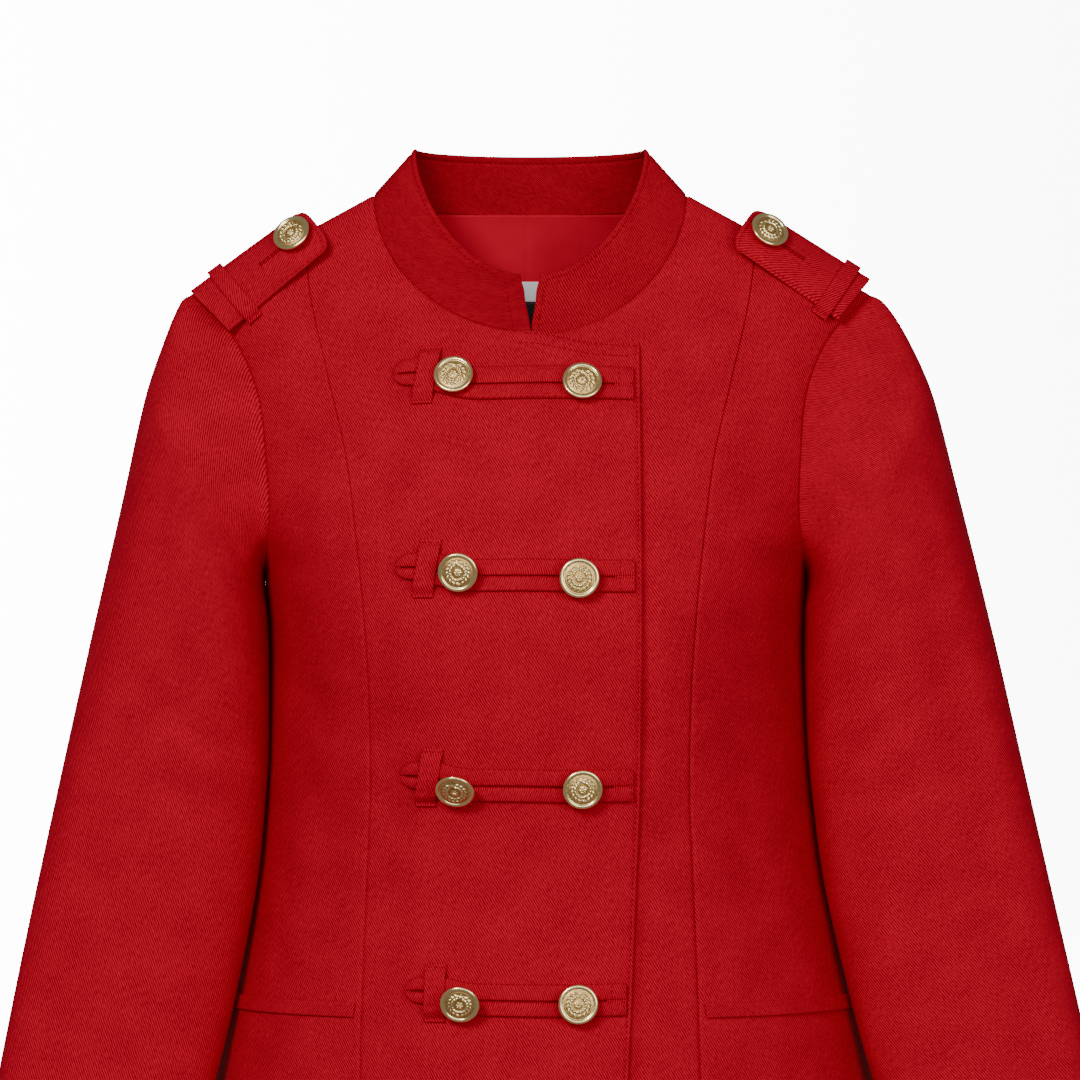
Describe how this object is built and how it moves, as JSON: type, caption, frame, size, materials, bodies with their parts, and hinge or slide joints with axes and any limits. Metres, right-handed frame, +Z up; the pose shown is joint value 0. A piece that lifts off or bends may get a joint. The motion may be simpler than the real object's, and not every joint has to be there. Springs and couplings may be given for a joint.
{
  "type": "military style jacket, worn shape with no wearer",
  "caption": "Hollow fitted jacket with a standing collar, frog tapes, metal buttons and epaulettes, open at neck, hem and cuffs.",
  "frame": {"origin": "midway between the two neck points, where the collar meets the shoulder seams and the shoulders carry the jacket", "axes": "+Z up, -Y the way the front faces, +X the wearer's left"},
  "size_m": [0.698, 0.2329, 0.6879],
  "materials": {
    "cotton_twill": "matt steep-ribbed cotton twill",
    "lining": "smooth plain lining",
    "brass": "pale cast brass, polished rim and sandy field",
    "label_white": "woven label tape",
    "label_black": "woven label tape"
  },
  "bodies": {
    "root": {"front_left": "cotton_twill", "front_right": "cotton_twill", "side_front_left": "cotton_twill", "side_front_right": "cotton_twill", "back_left": "cotton_twill", "back_right": "cotton_twill", "sleeve_left": "cotton_twill", "sleeve_right": "cotton_twill", "collar": "cotton_twill", "frog_1": "cotton_twill", "frog_2": "cotton_twill", "frog_3": "cotton_twill", "frog_4": "cotton_twill", "frog_loop_1": "cotton_twill", "frog_loop_2": "cotton_twill", "frog_loop_3": "cotton_twill", "frog_loop_4": "cotton_twill", "epaulette_left": "cotton_twill", "epaulette_right": "cotton_twill", "epaulette_loop_left": "cotton_twill", "epaulette_loop_right": "cotton_twill", "pocket_welt_left": "cotton_twill", "pocket_welt_right": "cotton_twill", "back_neck_lining": "lining", "button_inner_1": "brass", "button_inner_2": "brass", "button_inner_3": "brass", "button_inner_4": "brass", "button_outer_1": "brass", "button_outer_2": "brass", "button_outer_3": "brass", "button_outer_4": "brass", "epaulette_button_left": "brass", "epaulette_button_right": "brass", "neck_label": "label_white", "size_tab": "label_black"}
  },
  "joints": []
}
